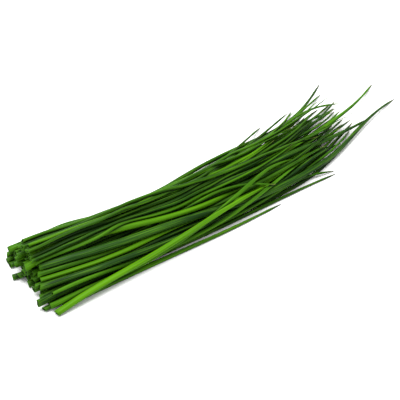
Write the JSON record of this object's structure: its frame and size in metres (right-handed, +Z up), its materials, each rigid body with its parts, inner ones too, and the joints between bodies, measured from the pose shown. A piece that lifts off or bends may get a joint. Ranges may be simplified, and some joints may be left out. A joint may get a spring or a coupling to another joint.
{
  "type": "chive bunch",
  "caption": "Bunch of fresh cut chives lying on its side: long hollow leaves cut square at one end, tapering and fanning out to fine loose tips at the other.",
  "frame": {"origin": "under the middle of the bunch's bounding box, on the surface it lies on", "axes": "+X along the bunch from the cut ends to the tips, +Y across it to the side the tips bend to, +Z up"},
  "size_m": [0.2638, 0.0842, 0.0197],
  "materials": {
    "lime_leaf": "waxy satin leaf skin, yellow-green, faint lengthwise ribs",
    "bright_leaf": "waxy satin leaf skin, fresh green, faint lengthwise ribs",
    "green_leaf": "waxy satin leaf skin, mid green, faint lengthwise ribs",
    "dark_leaf": "waxy satin leaf skin, dark green, faint lengthwise ribs",
    "bloomy_leaf": "waxy leaf skin, blue-green with a pale grey bloom"
  },
  "bodies": {
    "root": {"back_edge_leaf": "green_leaf", "back_grey_leaf": "bloomy_leaf", "back_low_leaf": "bright_leaf", "bed_leaf_01": "green_leaf", "bed_leaf_02": "dark_leaf", "bed_leaf_03": "bright_leaf", "bed_leaf_04": "green_leaf", "bed_leaf_05": "bloomy_leaf", "bed_leaf_06": "green_leaf", "bed_leaf_07": "dark_leaf", "bed_leaf_08": "bright_leaf", "bed_leaf_09": "green_leaf", "bed_leaf_10": "bloomy_leaf", "bed_leaf_11": "green_leaf", "bed_leaf_12": "dark_leaf", "bed_leaf_13": "bright_leaf", "bed_leaf_14": "green_leaf", "bed_leaf_15": "bloomy_leaf", "bed_leaf_16": "green_leaf", "bed_leaf_17": "dark_leaf", "bed_leaf_18": "bright_leaf", "bed_leaf_19": "green_leaf", "bed_leaf_20": "bloomy_leaf", "bed_leaf_21": "green_leaf", "bed_leaf_22": "dark_leaf", "bed_leaf_23": "bright_leaf", "bed_leaf_24": "green_leaf", "bed_leaf_25": "bloomy_leaf", "curling_leaf": "bright_leaf", "curved_tip_leaf": "green_leaf", "dark_tip_leaf": "dark_leaf", "far_dark_leaf": "dark_leaf", "far_tip_leaf": "green_leaf", "front_dark_leaf": "bloomy_leaf", "front_green_leaf": "bright_leaf", "front_lime_leaf": "lime_leaf", "front_thin_leaf": "bright_leaf", "hooked_tip_leaf": "green_leaf", "long_bright_leaf": "bright_leaf", "long_low_leaf": "bloomy_leaf", "low_tip_leaf": "green_leaf", "middle_thin_leaf": "bright_leaf", "short_bright_leaf": "bright_leaf", "side_blue_leaf": "bloomy_leaf", "side_bright_leaf": "bright_leaf", "side_lime_leaf": "lime_leaf", "stray_end_leaf": "dark_leaf", "table_edge_leaf": "bright_leaf", "thin_leaf_01": "green_leaf", "thin_leaf_02": "dark_leaf", "thin_leaf_03": "bright_leaf", "thin_leaf_04": "green_leaf", "thin_leaf_05": "bloomy_leaf", "thin_leaf_06": "green_leaf", "thin_stray_leaf": "green_leaf", "top_lime_leaf": "lime_leaf", "upper_back_leaf": "bright_leaf", "upper_thin_leaf": "bright_leaf", "upturned_tip_leaf": "dark_leaf", "wide_grey_leaf": "bloomy_leaf"}
  },
  "joints": []
}
